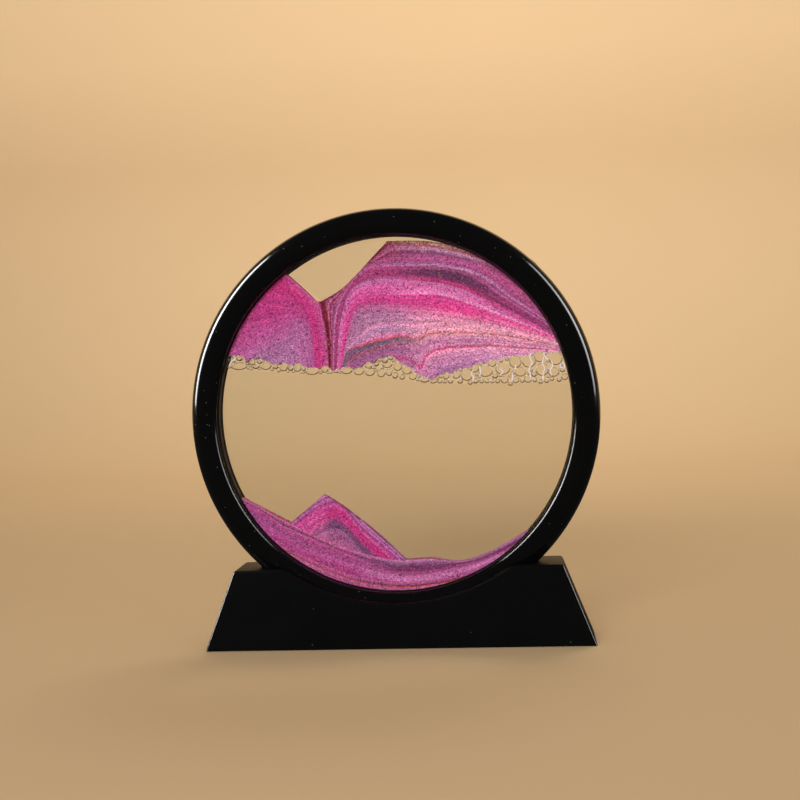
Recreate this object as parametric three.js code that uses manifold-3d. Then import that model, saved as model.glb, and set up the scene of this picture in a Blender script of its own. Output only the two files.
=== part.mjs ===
// A moving sand picture: a round, flat glass cell that holds liquid, coloured sand and a layer of air
// bubbles, clamped in a two-part round frame that stands in the groove of a wedge-shaped base.
// Millimetres, +Z up, +X along the base, +Y to the rear. The origin is under the middle of the base,
// on the surface that it stands on.
import * as THREE from "three";
import { ConvexGeometry } from "three/addons/geometries/ConvexGeometry.js";
import { mergeVertices } from "three/addons/utils/BufferGeometryUtils.js";
import Module from "manifold-3d";

const wasm = await Module();
wasm.setup();

// ---- driving dimensions ----
const GAP = 0.3; // clearance kept between neighbouring solids
const ROUND_STEPS = 80; // sides of a large circle
const SLOT_STEPS = 100; // finer than the frame, so that its corners stay clear of the groove

const FRAME = {
  outerR: 89, // a nominal 7 inch picture
  innerR: 77,
  halfDepth: 9,
  outerRound: 7, // rounding from the front face to the rim
  innerRound: 4.5, // rounding from the front face to the window
  pocketR: 84.8, // room for the glass
  centreZ: 99.8,
};
const CELL = {
  halfGap: 3, // half of the space between the two panes
  glassR: 84.4,
  glassT: 2.5,
  wallInnerR: 77.2, // shows as a thin black band inside the lip of the frame
  wallHalfDepth: 1.8,
  sealT: 0.6,
};
const PORT = {
  angle: 45, // degrees above +X, seen from the front
  headR: 2.5,
  headTop: 88.6,
  headLow: 85.2,
  shankR: 0.9,
  shankEnd: 77.5,
};
const BASE = {
  halfLength: [84, 71], // bottom, top
  halfDepth: [16, 13], // bottom, top
  bottomZ: 0.3,
  topZ: 34.3,
  wall: 2.5,
  edgeR: 1.2,
  saddleR: 86, // the open arc between the two shoulders
  saddleBottomZ: 19.2,
  saddleBlendR: 10, // rounding from the arc to the flat shoulders
};
const SLOT = { clearance: 0.4, floorT: 2.6 };
const PLATE = { lowZ: 0.6, thickness: 2.4 };
const PAD = { radius: 4.5, thickness: 1.2, recess: 0.9, x: 70, y: 7 };
const SCREW = {
  x: 40,
  headR: 2.8,
  headT: 1.4,
  shankR: 1.4,
  length: 9,
  postR: 3.4,
};

// Outlines inside the cell, as [x, z] from the centre of the picture.
const SAND_TOP = {
  leftSlope: [[-100, 110], [-44, 62.4], [-30, 50]],
  rightSlope: [[-30, 50], [-22, 54.2], [-15, 60], [-6, 69], [0, 74.8]],
  crest: [[0, 74.8], [13, 74.4], [23, 73], [34, 69.8], [52, 61], [84, 40]],
};
const SAND_BOTTOM = [
  [-84, 30], [-70, 28], [-64, 24.5], [-44, 23.3], [-24, 19.3], [-12, 22],
  [-2, 25.2], [4, 23], [11, 17], [17, 15.3], [24, 17.2], [45, 22.3], [62, 24.4], [84, 24.4],
];
const BUBBLE_BOTTOM = [
  [-84, 22.5], [-68, 21.5], [-36, 18.4], [-14, 18], [0, 15.7], [15, 13], [40, 12], [62, 11.8], [84, 13],
];
const BED_TOP = [
  [-84, -26], [-67.5, -35.5], [-45, -47.8], [-26, -57], [-8, -62.5], [3, -63.8], [14, -63.4],
  [26, -65], [36, -62.8], [50, -56], [84, -35],
];
const PEAK = [[-53, -51.7], [-31.2, -34.5], [-24.5, -39], [-14.7, -47.2], [-6.6, -54.4], [6, -67]];
const VEIN = { top: [-30, 60], bottom: [-26.6, 10] }; // where the two upper slopes meet

// ---- materials ----
const finish = (name, color, roughness, metalness = 0, opacity = 1) => () =>
  new THREE.MeshStandardMaterial({
    name,
    color,
    roughness,
    metalness,
    opacity,
    transparent: opacity < 1,
  });
const glossBlack = finish("frame_black", 0x0a0a0a, 0.18);
const satinBlack = finish("base_black", 0x0e0e0e, 0.38);
const innerBlack = finish("plate_black", 0x161616, 0.6);
const clearGlass = finish("glass", 0xe8f0ee, 0.03, 0, 0.2);
const sealBlack = finish("seal_rubber", 0x1a1a1a, 0.7);
const footRubber = finish("foot_rubber", 0x202020, 0.85);
const screwSteel = finish("screw_steel", 0xb0b4b8, 0.3, 1);
const clearLiquid = finish("liquid", 0xd8c8a8, 0.03, 0, 0.15);
const bubbleAir = finish("air", 0xe6d8c0, 0.1, 0, 0.3);
const pinkSand = finish("pink_sand", 0xc83e88, 0.9);
const violetSand = finish("violet_sand", 0xa24684, 0.9);

// ---- solids ----
function solidOf(geometry) {
  const bare = geometry.clone();
  bare.deleteAttribute("normal");
  bare.deleteAttribute("uv");
  const merged = mergeVertices(bare, 1e-4);
  return new wasm.Manifold(
    new wasm.Mesh({
      numProp: 3,
      vertProperties: merged.attributes.position.array,
      triVerts: new Uint32Array(merged.index.array),
    }),
  );
}

function geometryOf(solid) {
  const mesh = solid.getMesh();
  const geometry = new THREE.BufferGeometry();
  geometry.setAttribute("position", new THREE.BufferAttribute(mesh.vertProperties, 3));
  geometry.setIndex(new THREE.BufferAttribute(mesh.triVerts, 1));
  geometry.computeVertexNormals();
  return geometry;
}

function piece(name, solid, material) {
  const mesh = new THREE.Mesh(geometryOf(solid), material());
  mesh.name = name;
  return mesh;
}

// A solid turned about the Y axis from a closed outline of [radius, y] points.
function turned(outline, steps = ROUND_STEPS) {
  const points = [...outline, outline[0]].map(([r, y]) => new THREE.Vector2(r, y));
  return solidOf(new THREE.LatheGeometry(points, steps));
}

const washer = (innerR, outerR, lowY, highY) =>
  turned([[innerR, lowY], [outerR, lowY], [outerR, highY], [innerR, highY]]);

function disc(radius, lowY, highY, steps = ROUND_STEPS) {
  const geometry = new THREE.CylinderGeometry(radius, radius, highY - lowY, steps);
  return solidOf(geometry.translate(0, (highY + lowY) / 2, 0));
}

// An outline in X and Z, given depth from lowY to highY.
function slab(shape, lowY, highY) {
  const geometry = new THREE.ExtrudeGeometry(shape, { depth: highY - lowY, bevelEnabled: false });
  return solidOf(geometry.rotateX(Math.PI / 2).translate(0, highY, 0));
}

function upright(radius, lowZ, highZ, x, y, steps = 20) {
  const geometry = new THREE.CylinderGeometry(radius, radius, highZ - lowZ, steps);
  return solidOf(geometry.rotateX(Math.PI / 2).translate(x, y, (highZ + lowZ) / 2));
}

const arc = (cx, cy, r, from, to, steps) =>
  Array.from({ length: steps + 1 }, (_, i) => {
    const a = THREE.MathUtils.degToRad(from + ((to - from) * i) / steps);
    return [cx + r * Math.cos(a), cy + r * Math.sin(a)];
  });

// ---- the round frame ----
// Section of the front half, as [radius, y]: rim, rounded front, window lip, pocket for the cell.
function frameSection() {
  const { outerR, innerR, halfDepth, outerRound, innerRound, pocketR } = FRAME;
  const lipY = -(CELL.halfGap + CELL.glassT + GAP);
  const lipCentreY = innerRound - halfDepth;
  const lipAngle = 180 + THREE.MathUtils.radToDeg(Math.asin((lipCentreY - lipY) / innerRound));
  return [
    [outerR, -GAP / 2],
    ...arc(outerR - outerRound, outerRound - halfDepth, outerRound, 0, -90, 6),
    ...arc(innerR + innerRound, lipCentreY, innerRound, 270, lipAngle, 4),
    [pocketR, lipY],
    [pocketR, -GAP / 2],
  ];
}

function fillPort(radius, from, to) {
  const geometry = new THREE.CylinderGeometry(radius, radius, to - from, 16);
  geometry.translate(0, (to + from) / 2, 0).rotateZ(-Math.PI / 2);
  return solidOf(geometry.rotateY(-THREE.MathUtils.degToRad(PORT.angle)));
}

function pictureFrame() {
  const front = turned(frameSection().reverse());
  const rear = turned(frameSection().map(([r, y]) => [r, -y]));
  const hole = fillPort(PORT.headR + GAP, FRAME.pocketR - 2, FRAME.outerR + 2);
  return [
    piece("front_frame", front.subtract(hole), glossBlack),
    piece("rear_frame", rear.subtract(hole), glossBlack),
    piece("fill_plug", fillPlug(), sealBlack),
  ];
}

const fillPlug = () =>
  fillPort(PORT.headR, PORT.headLow, PORT.headTop).add(
    fillPort(PORT.shankR, PORT.shankEnd, PORT.headLow + 1),
  );

// ---- the glass cell ----
function glassCell() {
  const { halfGap, glassR, glassT, wallInnerR, wallHalfDepth, sealT } = CELL;
  const outer = halfGap + glassT;
  const sealLow = (halfGap + wallHalfDepth - sealT) / 2;
  const hole = fillPort(PORT.shankR + GAP, wallInnerR - 2, FRAME.pocketR);
  const wall = washer(wallInnerR, glassR, -wallHalfDepth, wallHalfDepth);
  const seal = (side) =>
    side < 0
      ? washer(wallInnerR, glassR, -sealLow - sealT, -sealLow)
      : washer(wallInnerR, glassR, sealLow, sealLow + sealT);
  return [
    piece("front_glass", disc(glassR, -outer, -halfGap), clearGlass),
    piece("rear_glass", disc(glassR, halfGap, outer), clearGlass),
    piece("cell_wall", wall.subtract(hole), innerBlack),
    piece("front_seal", seal(-1), sealBlack),
    piece("rear_seal", seal(1), sealBlack),
  ];
}

// ---- sand, liquid and air ----
const smooth = (points, steps) =>
  new THREE.SplineCurve(points.map(([x, z]) => new THREE.Vector2(x, z)))
    .getPoints(steps)
    .map((p) => [p.x, p.y]);

const raised = (line, by) => line.map(([x, z]) => [x, z + by]);

const shapeOf = (points) => new THREE.Shape(points.map(([x, z]) => new THREE.Vector2(x, z)));

// Everything below a line that runs from left to right, cut to the inside of the cell.
function below(line, by = 0) {
  const floor = -100;
  const points = raised(line, by);
  const shape = shapeOf([[points[0][0], floor], [points.at(-1)[0], floor], ...points.toReversed()]);
  return slab(shape, GAP - CELL.halfGap, CELL.halfGap - GAP);
}

function cellContents() {
  const inside = disc(CELL.wallInnerR - GAP, GAP - CELL.halfGap, CELL.halfGap - GAP);
  const sandTop = [
    ...smooth(SAND_TOP.leftSlope, 6),
    ...smooth(SAND_TOP.rightSlope, 12).slice(1),
    ...smooth(SAND_TOP.crest, 14).slice(1),
  ];
  const sandBottom = smooth(SAND_BOTTOM, 44);
  const bubbleBottom = smooth(BUBBLE_BOTTOM, 24);
  const bedTop = smooth(BED_TOP, 34);
  const peakBlock = (by) => below(PEAK, by);

  const cut = GAP / 2;
  const upperSand = inside.intersect(below(sandTop, -cut)).subtract(below(sandBottom, cut));
  const leftOfVein = slab(
    shapeOf([[-100, VEIN.bottom[1]], VEIN.bottom, VEIN.top, [-100, VEIN.top[1] + 40]]),
    -CELL.halfGap,
    CELL.halfGap,
  );
  const rightSide = upperSand.subtract(leftOfVein.translate([GAP, 0, 0]));
  const leftSide = upperSand.intersect(leftOfVein);
  const air = inside.intersect(below(sandBottom, -cut)).subtract(below(bubbleBottom, cut));
  const bed = inside.intersect(below(bedTop, -cut));
  const peak = inside.intersect(peakBlock(0)).subtract(below(bedTop, cut));
  const lowerLiquid = inside
    .intersect(below(bubbleBottom, -cut))
    .subtract(below(bedTop, cut))
    .subtract(peakBlock(GAP + 0.1));
  const upperLiquid = inside.subtract(below(sandTop, cut));
  return [
    piece("upper_sand_left", leftSide, pinkSand),
    piece("upper_sand_right", rightSide, pinkSand),
    piece("bubble_layer", air, bubbleAir),
    piece("upper_liquid", upperLiquid, clearLiquid),
    piece("lower_liquid", lowerLiquid, clearLiquid),
    piece("lower_sand_peak", peak, violetSand),
    piece("lower_sand_bed", bed, pinkSand),
  ];
}

// ---- the base ----
// A wedge whose upright and top edges are rounded; the sizes are [bottom, top].
function wedge(halfLength, halfDepth, lowZ, highZ, edgeR) {
  const points = [];
  const addLevel = (hx, hy, z, radius) => {
    for (const [x, y] of arc(0, 0, radius, 0, 90, 4))
      for (const [sx, sy] of [[-1, -1], [-1, 1], [1, -1], [1, 1]])
        points.push(new THREE.Vector3(sx * (hx - edgeR + x), sy * (hy - edgeR + y), z));
  };
  addLevel(halfLength[0], halfDepth[0], lowZ, edgeR);
  for (const [radius, rise] of arc(0, 0, edgeR, 0, 90, 4))
    addLevel(halfLength[1], halfDepth[1], highZ - edgeR + rise, radius);
  return solidOf(new ConvexGeometry(points));
}

// The open arc that shows the lower edge of the picture, rounded into the two shoulders.
function saddle() {
  const { saddleR, saddleBottomZ, saddleBlendR, topZ, halfDepth } = BASE;
  const centreZ = saddleBottomZ + saddleR;
  const drop = centreZ - (topZ - saddleBlendR);
  const blendX = Math.sqrt((saddleR + saddleBlendR) ** 2 - drop ** 2);
  const meet = THREE.MathUtils.radToDeg(Math.atan2(drop, blendX));
  const above = topZ + 20;
  const outline = [
    [-blendX, above],
    ...arc(-blendX, topZ - saddleBlendR, saddleBlendR, 90, meet, 5),
    ...arc(0, centreZ, saddleR, 180 + meet, 360 - meet, 32).slice(1, -1),
    ...arc(blendX, topZ - saddleBlendR, saddleBlendR, 180 - meet, 90, 5),
    [blendX, above],
  ];
  return slab(shapeOf(outline), -halfDepth[0] - 1, halfDepth[0] + 1);
}

// The groove that the lower part of the round frame stands in, moulded to the frame's own section.
function slot() {
  const halfDepth = FRAME.halfDepth + SLOT.clearance;
  const round = FRAME.outerRound + SLOT.clearance;
  const outline = [
    [60, -halfDepth],
    ...arc(FRAME.outerR - FRAME.outerRound, round - halfDepth, round, -90, 0, 6),
    ...arc(FRAME.outerR - FRAME.outerRound, halfDepth - round, round, 0, 90, 6),
    [60, halfDepth],
  ];
  return turned(outline, SLOT_STEPS).translate([0, 0, FRAME.centreZ]);
}

// The outside of the wedge, moved in by an amount, between two heights.
function wedgeInside(by, lowZ, highZ, edgeR) {
  const { halfLength, halfDepth, bottomZ, topZ } = BASE;
  const sizeAt = ([bottom, top], z) =>
    bottom + ((top - bottom) * (z - bottomZ)) / (topZ - bottomZ) - by;
  const sizes = (half) => [sizeAt(half, lowZ), sizeAt(half, highZ)];
  return wedge(sizes(halfLength), sizes(halfDepth), lowZ, highZ, edgeR);
}

function baseShell() {
  const { halfDepth, bottomZ, topZ, wall, edgeR } = BASE;
  const outside = wedgeInside(0, bottomZ, topZ, edgeR);
  const floorR = FRAME.outerR + SLOT.clearance + SLOT.floorT;
  const hollow = wedgeInside(wall, bottomZ - 1, topZ - wall, edgeR / 2).subtract(
    disc(floorR, -halfDepth[0], halfDepth[0], SLOT_STEPS).translate([0, 0, FRAME.centreZ]),
  );
  let shell = outside.subtract(hollow);
  for (const x of [-SCREW.x, SCREW.x])
    shell = shell.add(upright(SCREW.postR, PLATE.lowZ + PLATE.thickness + GAP, topZ / 2, x, 0));
  shell = shell.subtract(saddle()).subtract(slot());
  for (const x of [-SCREW.x, SCREW.x])
    shell = shell.subtract(upright(SCREW.shankR + GAP, 0, PLATE.lowZ + SCREW.length + 1, x, 0));
  return shell;
}

const padPlaces = [-1, 1].flatMap((sx) => [-1, 1].map((sy) => [sx, sy]));

function basePlate() {
  const { wall, edgeR } = BASE;
  const { lowZ, thickness } = PLATE;
  let plate = wedgeInside(wall + GAP, lowZ, lowZ + thickness, edgeR / 2);
  for (const [sx, sy] of padPlaces)
    plate = plate.subtract(upright(PAD.radius + GAP, 0, lowZ + PAD.recess, sx * PAD.x, sy * PAD.y));
  for (const x of [-SCREW.x, SCREW.x])
    plate = plate
      .subtract(upright(SCREW.headR + GAP, 0, lowZ + SCREW.headT + GAP, x, 0))
      .subtract(upright(SCREW.shankR + GAP, 0, lowZ + thickness + 1, x, 0));
  return plate;
}

function baseScrew(x) {
  const low = PLATE.lowZ + GAP / 2;
  const head = upright(SCREW.headR, low, low + SCREW.headT, x, 0);
  const drive = upright(1, low - 1, low + 0.8, x, 0, 6);
  return head.add(upright(SCREW.shankR, low, low + SCREW.length, x, 0, 16)).subtract(drive);
}

function base() {
  const sideName = (s, low, high) => (s < 0 ? low : high);
  return [
    piece("base_shell", baseShell(), satinBlack),
    piece("base_plate", basePlate(), innerBlack),
    piece("base_screw_left", baseScrew(-SCREW.x), screwSteel),
    piece("base_screw_right", baseScrew(SCREW.x), screwSteel),
    ...padPlaces.map(([sx, sy]) =>
      piece(
        `foot_${sideName(sy, "front", "rear")}_${sideName(sx, "left", "right")}`,
        upright(PAD.radius, 0, PAD.thickness, sx * PAD.x, sy * PAD.y),
        footRubber,
      ),
    ),
  ];
}

// ---- the whole ----
const picture = new THREE.Group();
picture.position.z = FRAME.centreZ;
picture.add(...pictureFrame(), ...glassCell(), ...cellContents());

const whole = new THREE.Group();
whole.add(...base(), picture);

export default whole;
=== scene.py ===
import math
import random

import bmesh
import bpy
import numpy as np
from mathutils import Matrix, Vector


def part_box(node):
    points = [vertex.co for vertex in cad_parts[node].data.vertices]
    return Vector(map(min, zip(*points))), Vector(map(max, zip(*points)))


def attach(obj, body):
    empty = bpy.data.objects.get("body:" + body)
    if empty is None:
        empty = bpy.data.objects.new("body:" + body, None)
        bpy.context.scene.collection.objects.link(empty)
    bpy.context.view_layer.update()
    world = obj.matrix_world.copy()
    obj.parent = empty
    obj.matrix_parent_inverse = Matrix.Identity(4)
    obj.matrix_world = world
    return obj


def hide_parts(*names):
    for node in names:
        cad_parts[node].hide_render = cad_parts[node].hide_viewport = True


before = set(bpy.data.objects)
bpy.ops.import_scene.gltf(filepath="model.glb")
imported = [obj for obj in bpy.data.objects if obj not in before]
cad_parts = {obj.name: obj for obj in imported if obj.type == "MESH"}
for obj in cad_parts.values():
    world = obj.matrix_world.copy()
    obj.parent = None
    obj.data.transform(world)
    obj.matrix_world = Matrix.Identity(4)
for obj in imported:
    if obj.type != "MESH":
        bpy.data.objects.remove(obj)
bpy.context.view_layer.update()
print("frame loaded:", len(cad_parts), "nodes")

mm = 0.001
discLow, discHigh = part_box("front_glass")
centreZ = (discLow.z + discHigh.z) / 2 / mm  # height of the middle of the picture
facing = Matrix.Translation((0, 0, centreZ * mm))


# turns a bmesh into an object that rides on nothing yet
def meshed(bm, name, material=None, sharpAngle=35):
    bmesh.ops.remove_doubles(bm, verts=bm.verts, dist=1e-7)
    bmesh.ops.recalc_face_normals(bm, faces=bm.faces)
    mesh = bpy.data.meshes.new(name)
    bm.to_mesh(mesh)
    bm.free()
    piece = bpy.data.objects.new(name, mesh)
    bpy.context.scene.collection.objects.link(piece)
    if material:
        mesh.materials.append(material)
    smoothed(mesh, sharpAngle)
    return piece


def smoothed(mesh, sharpAngle):
    mesh.polygons.foreach_set("use_smooth", [True] * len(mesh.polygons))
    mesh.set_sharp_from_angle(angle=math.radians(sharpAngle))


# the last step of every piece: its shading, its body and the node it stands for
def placed(piece, body, node=None, sharpAngle=35):
    smoothed(piece.data, sharpAngle)
    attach(piece, body)
    if node:
        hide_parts(node)
    return piece


def cut(piece, bm):
    cutWith(piece, meshed(bm, "tool"))


# takes a tool out of a piece and removes the tool
def cutWith(piece, tool):
    modifier = piece.modifiers.new("cut", "BOOLEAN")
    modifier.operation, modifier.object, modifier.solver = "DIFFERENCE", tool, "EXACT"
    bpy.context.view_layer.update()
    graph = bpy.context.evaluated_depsgraph_get()
    mesh = bpy.data.meshes.new_from_object(piece.evaluated_get(graph))
    piece.modifiers.clear()
    piece.data = mesh
    bpy.data.objects.remove(tool)


# the vertices that an extrusion has just made
def movedVerts(pushed):
    return [v for v in pushed["geom"] if isinstance(v, bmesh.types.BMVert)]


def arc(cx, cy, radius, start, end, steps):
    turn = [math.radians(start + (end - start) * i / steps) for i in range(steps + 1)]
    return [(cx + radius * math.cos(a), cy + radius * math.sin(a)) for a in turn]


# a closed outline of (radius, depth) in millimetres, spun about the axis of the picture
def spunRing(outline, steps=256):
    bm = bmesh.new()
    corners = [bm.verts.new((r * mm, y * mm, centreZ * mm)) for r, y in outline]
    edges = [bm.edges.new((a, b)) for a, b in zip(corners, corners[1:] + corners[:1])]
    bmesh.ops.spin(bm, geom=corners + edges, cent=(0, 0, centreZ * mm), axis=(0, 1, 0),
                   angle=math.tau, steps=steps, use_merge=True)
    return bm


# an open outline of (radius, height) in millimetres, spun about the upright axis
def spunUpright(outline, steps=48):
    bm = bmesh.new()
    corners = [bm.verts.new((r * mm, 0, z * mm)) for r, z in outline]
    edges = [bm.edges.new(pair) for pair in zip(corners, corners[1:])]
    bmesh.ops.spin(bm, geom=corners + edges, cent=(0, 0, 0), axis=(0, 0, 1),
                   angle=math.tau, steps=steps, use_merge=True)
    return bm


def cylinder(radius, low, high, place=Matrix.Identity(4), steps=48):
    bm = bmesh.new()
    bmesh.ops.create_cone(bm, cap_ends=True, segments=steps, radius1=radius * mm, radius2=radius * mm,
                          depth=(high - low) * mm,
                          matrix=place @ Matrix.Translation((0, 0, (low + high) / 2 * mm)))
    return bm


# one output socket, with arithmetic that adds Math nodes
class Wire:
    def __init__(self, graph, socket):
        self.graph, self.socket = graph, socket

    def sibling(self, output):  # another output of the same node
        return Wire(self.graph, self.socket.node.outputs[output])

    def maths(self, operation, first, second):
        return self.graph.node("ShaderNodeMath", {"operation": operation}, {0: first, 1: second})

    def __add__(self, other):
        return self.maths("ADD", self, other)

    def __radd__(self, other):
        return self.maths("ADD", other, self)

    def __sub__(self, other):
        return self.maths("SUBTRACT", self, other)

    def __rsub__(self, other):
        return self.maths("SUBTRACT", other, self)

    def __mul__(self, other):
        return self.maths("MULTIPLY", self, other)

    def __rmul__(self, other):
        return self.maths("MULTIPLY", other, self)

    def __pow__(self, other):
        return self.maths("POWER", self, other)

    def __gt__(self, other):
        return self.maths("GREATER_THAN", self, other)


class Graph:
    def __init__(self, tree):
        self.tree = tree

    def node(self, kind, settings=None, values=None, output=0):
        made = self.tree.nodes.new(kind)
        for name, value in (settings or {}).items():
            if name == "stops":
                self.fillRamp(made.color_ramp, value)
            else:
                setattr(made, name, value)
        for key, value in (values or {}).items():
            self.give(made.inputs[key], value)
        return Wire(self, made.outputs[output])

    def give(self, socket, value):
        if isinstance(value, Wire):
            self.tree.links.new(value.socket, socket)
        else:
            socket.default_value = value

    def fillRamp(self, ramp, stops):
        for _ in stops[2:]:
            ramp.elements.new(0.5)
        for element, stop in zip(ramp.elements, stops):
            element.position = stop[0]
        for element, stop in zip(ramp.elements, stops):
            element.color = stop[1]

    def mixed(self, factor, low, high, how="MIX"):
        return self.node("ShaderNodeMix", {"data_type": "RGBA", "blend_type": how},
                         {0: factor, 6: low, 7: high}, output=2)

    def ramped(self, value, low, high, start=0.0, end=1.0):
        return self.node("ShaderNodeMapRange", None, {0: value, 1: low, 2: high, 3: start, 4: end})

    def clamped(self, value):
        return self.node("ShaderNodeClamp", None, {"Value": value})

    def parts(self, vector):
        x = self.node("ShaderNodeSeparateXYZ", None, {"Vector": vector})
        return x, x.sibling(1), x.sibling(2)

    def noise(self, vector, scale, detail=2.0, roughness=0.5):
        return self.node("ShaderNodeTexNoise", None,
                         {"Vector": vector, "Scale": scale, "Detail": detail, "Roughness": roughness})

    def cells(self, vector, scale):  # the distance to the middle of a cell; its sibling is a random colour
        return self.node("ShaderNodeTexVoronoi", {"feature": "F1"}, {"Vector": vector, "Scale": scale},
                         "Distance")

    def bump(self, height, strength, distance):
        return self.node("ShaderNodeBump", None,
                         {"Height": height, "Strength": strength, "Distance": distance})


class Finish(Graph):
    def __init__(self, name):
        self.material = bpy.data.materials.new(name)
        self.material.use_nodes = True
        super().__init__(self.material.node_tree)
        self.shader = self.tree.nodes["Principled BSDF"]

    def place(self):
        return self.node("ShaderNodeTexCoord", output="Object")

    def slope(self):  # the surface's own direction, as three numbers
        return self.parts(self.node("ShaderNodeTexCoord", output="Normal"))

    def attribute(self, name):
        return self.node("ShaderNodeAttribute", {"attribute_name": name}, output="Fac")

    def surface(self, **values):
        for name, value in values.items():
            self.give(self.shader.inputs[name.replace("_", " ")], value)
        return self.material


# a screen colour from 0 to 255 as the linear colour that a socket takes
def linear(red, green, blue, gain=1.0):
    def one(value):
        value /= 255
        return gain * (value / 12.92 if value <= 0.04045 else ((value + 0.055) / 1.055) ** 2.4)
    return (one(red), one(green), one(blue), 1.0)


dustLook = dict(scale=1100.0, size=0.25, strength=0.3, rough=0.2, colour=(150, 145, 140))
mouldedPlastics = {  # dust is the share of the cells without a speck; corners is the polish on upright edges
    "glossBlack": dict(dark=5, light=9, rough=0.09, roughSpread=0.06, grain=420, bump=0.03, depth=2e-5,
                       specular=0.36, dust=0.985),
    "satinBlack": dict(dark=8, light=12, rough=0.38, roughSpread=0.10, grain=3600, bump=0.12, depth=2e-5,
                       specular=0.07, dust=0.998, corners=0.9),
    "innerBlack": dict(dark=16, light=24, rough=0.50, roughSpread=0.15, grain=2600, bump=0.25, depth=3e-5,
                       specular=0.40, dust=0.999),
    "sealRubber": dict(dark=18, light=27, rough=0.62, roughSpread=0.15, grain=1800, bump=0.25, depth=4e-5,
                       specular=0.35, dust=0.999),
    "footRubber": dict(dark=26, light=38, rough=0.78, roughSpread=0.12, grain=1500, bump=0.35, depth=5e-5,
                       specular=0.30, dust=0.99),
}


def mouldedFinish(name):
    look, specks = mouldedPlastics[name], dustLook
    finish = Finish(name)
    place = finish.place()
    cloud = finish.noise(place, 38, 4.0)
    grain = finish.noise(place, look["grain"])
    spot = finish.cells(place, specks["scale"])
    fleck = finish.node("ShaderNodeSeparateColor", None, {"Color": spot.sibling("Color")}) > look["dust"]
    dust = fleck * (specks["size"] - spot > 0)
    colour = finish.mixed(cloud, linear(*[look["dark"]] * 3), linear(*[look["light"]] * 3))
    colour = finish.mixed(dust * specks["strength"], colour, linear(*specks["colour"]))
    rough = look["rough"] + cloud * look["roughSpread"] + dust * specks["rough"]
    side, out, _ = finish.slope()
    corner = finish.ramped(side * side * out * out, 0.06, 0.16)  # only on the rounding between two walls
    return finish.surface(Base_Color=colour, Roughness=rough, Specular_IOR_Level=look["specular"],
                          Coat_Weight=corner * look.get("corners", 0.0), Coat_Roughness=0.2,
                          Normal=finish.bump(grain, look["bump"], look["depth"]))


def steelFinish():
    finish = Finish("screwSteel")
    place = finish.place()
    brushed = finish.noise(place, 900, 3.0)
    worn = finish.noise(place, 240, 2.0)
    colour = finish.mixed(worn, linear(150, 152, 156), linear(190, 192, 196))
    return finish.surface(Base_Color=colour, Metallic=1.0, Roughness=0.22 + brushed * 0.2,
                          Normal=finish.bump(brushed, 0.2, 2e-5))


def glassFinish():
    finish = Finish("paneGlass")
    clear = finish.node("ShaderNodeBsdfTransparent", None, {"Color": (0.985, 0.99, 0.985, 1)})
    mirror = finish.node("ShaderNodeBsdfAnisotropic", {"distribution": "GGX"},
                         {"Color": (1, 1, 1, 1), "Roughness": 0.03})
    smear = finish.noise(finish.place(), 26, 3.0)
    slant = finish.node("ShaderNodeLayerWeight", None, {"Blend": 0.5}, output="Facing")
    share = (0.03 + slant ** 5 * 0.9) * (0.85 + smear * 0.3)
    both = finish.node("ShaderNodeMixShader", None, {0: share, 1: clear, 2: mirror})
    finish.give(finish.tree.nodes["Material Output"].inputs["Surface"], both)
    finish.tree.nodes.remove(finish.shader)
    return finish.material


def liquidFinish():
    finish = Finish("cellLiquid")
    haze = finish.noise(finish.place(), 20, 3.0)
    return finish.surface(Base_Color=finish.mixed(haze, linear(96, 74, 50), linear(120, 96, 68)),
                          Roughness=0.35, Specular_IOR_Level=0.1, Alpha=0.03 + haze * 0.02)


# clear in the middle, with a painted dark rim below (painted shade for the dark edge of the meniscus) and painted
# white glints above (painted highlight)
def bubbleClearWithPaintedRims():
    finish = Finish("bubbleAirPaintedRims")
    place = finish.place()
    y = finish.parts(place)[1]
    _, out, up = finish.slope()
    near = finish.ramped(y, -1.9e-3, -2.2e-3)
    far = finish.ramped(y, 2.1e-3, 2.4e-3, end=0.3)
    edge = finish.ramped(1 - out * out, 0.06, 0.36) * (near + far)
    patchy = finish.noise(place, 1100)
    # low marks the lower rims, where the painted shade is most opaque
    low = finish.ramped(up, 0.05, -0.3)
    paintedGlint = (1 - low) * finish.ramped(patchy, 0.47, 0.56)
    # painted shade: the rims near the panes turn dark brown
    colour = finish.mixed(edge, linear(214, 180, 128), linear(84, 58, 40))
    # painted highlight: white glints in patches on the upper rims
    colour = finish.mixed(paintedGlint * edge, colour, linear(255, 250, 246))
    return finish.surface(Base_Color=colour, Roughness=0.12 + patchy * 0.08, Specular_IOR_Level=0.3,
                          Alpha=0.06 + edge * (0.22 + low * 0.62 + paintedGlint * 0.7))


def filmPaintedHighlight():
    finish = Finish("liquidFilmPaintedHighlight")
    tint = finish.noise(finish.place(), 500)
    # white to lilac: painted highlight, standing in for the lamps reflected in the films
    colour = finish.mixed(tint, linear(255, 255, 255), linear(244, 222, 244))
    return finish.surface(Base_Color=colour, Roughness=0.15 + tint * 0.1)


# the round frame, in millimetres from the middle of the picture
frameSizes = dict(outer=89, inner=77, outerRound=7, innerRound=4.5, halfDepth=9, pocket=84.8, lip=5.8,
                  lipRadius=77.19, seam=0.07, chamfer=0.28, portAngle=45, portRadius=2.62, portFrom=82.8, portTo=91)


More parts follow.
